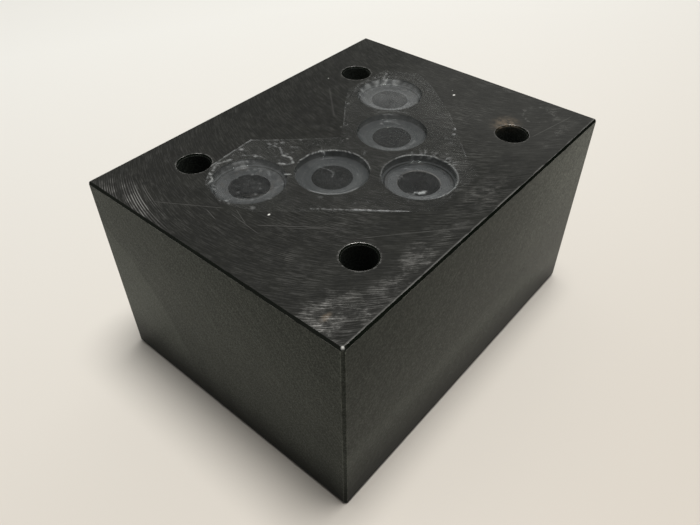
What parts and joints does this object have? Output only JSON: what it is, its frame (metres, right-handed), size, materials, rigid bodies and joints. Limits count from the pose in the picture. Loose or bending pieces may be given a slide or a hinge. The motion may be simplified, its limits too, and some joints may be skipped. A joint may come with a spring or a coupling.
{
  "type": "hydraulic sandwich plate check valve",
  "caption": "Blackened steel modular valve block with through ports, seal recesses, clamping screw holes and vertical spring-loaded check cartridges, under a protective film.",
  "frame": {"origin": "centre of the block's plain bottom face", "axes": "+X along the long side, +Y along the short side towards the tank ports, +Z towards the seal face"},
  "size_m": [0.091, 0.07, 0.0501],
  "materials": {
    "block_steel": "blackened, fly-cut and ground faces, lightly oiled",
    "turned_steel": "fine turned",
    "hardened_steel": "hardened and ground",
    "spring_wire": "drawn wire, oiled",
    "seal_rubber": "matt nitrile",
    "backup_ptfe": "waxy",
    "film": "thin clear wrinkled film"
  },
  "bodies": {
    "block": {"valve_block": "block_steel", "sleeve_p": "turned_steel", "seat_ring_p": "hardened_steel", "spring_p": "spring_wire", "o_ring_p": "seal_rubber", "backup_ring_p": "backup_ptfe", "sleeve_ta": "turned_steel", "seat_ring_ta": "hardened_steel", "spring_ta": "spring_wire", "o_ring_ta": "seal_rubber", "backup_ring_ta": "backup_ptfe", "sleeve_tb": "turned_steel", "seat_ring_tb": "hardened_steel", "spring_tb": "spring_wire", "o_ring_tb": "seal_rubber", "backup_ring_tb": "backup_ptfe"},
    "poppet_p": {"poppet_p": "hardened_steel"},
    "poppet_ta": {"poppet_ta": "hardened_steel"},
    "poppet_tb": {"poppet_tb": "hardened_steel"},
    "film": {"protective_film": "film"}
  },
  "joints": [
    {"name": "poppet_p_slide", "type": "slide", "parent": "block", "child": "poppet_p", "axis": [0, 0, -1], "range_m": [0, 0.0034], "stiffness_N_per_m": 740, "springref_m": -0.005, "deforming": ["spring_p"]},
    {"name": "poppet_ta_slide", "type": "slide", "parent": "block", "child": "poppet_ta", "axis": [0, 0, 1], "range_m": [0, 0.0034], "stiffness_N_per_m": 740, "springref_m": -0.005, "deforming": ["spring_ta"]},
    {"name": "poppet_tb_slide", "type": "slide", "parent": "block", "child": "poppet_tb", "axis": [0, 0, 1], "range_m": [0, 0.0034], "stiffness_N_per_m": 740, "springref_m": -0.005, "deforming": ["spring_tb"]},
    {"name": "film_lift", "type": "slide", "parent": "block", "child": "film", "axis": [0, 0, 1], "range_m": [0, 0.06]}
  ]
}
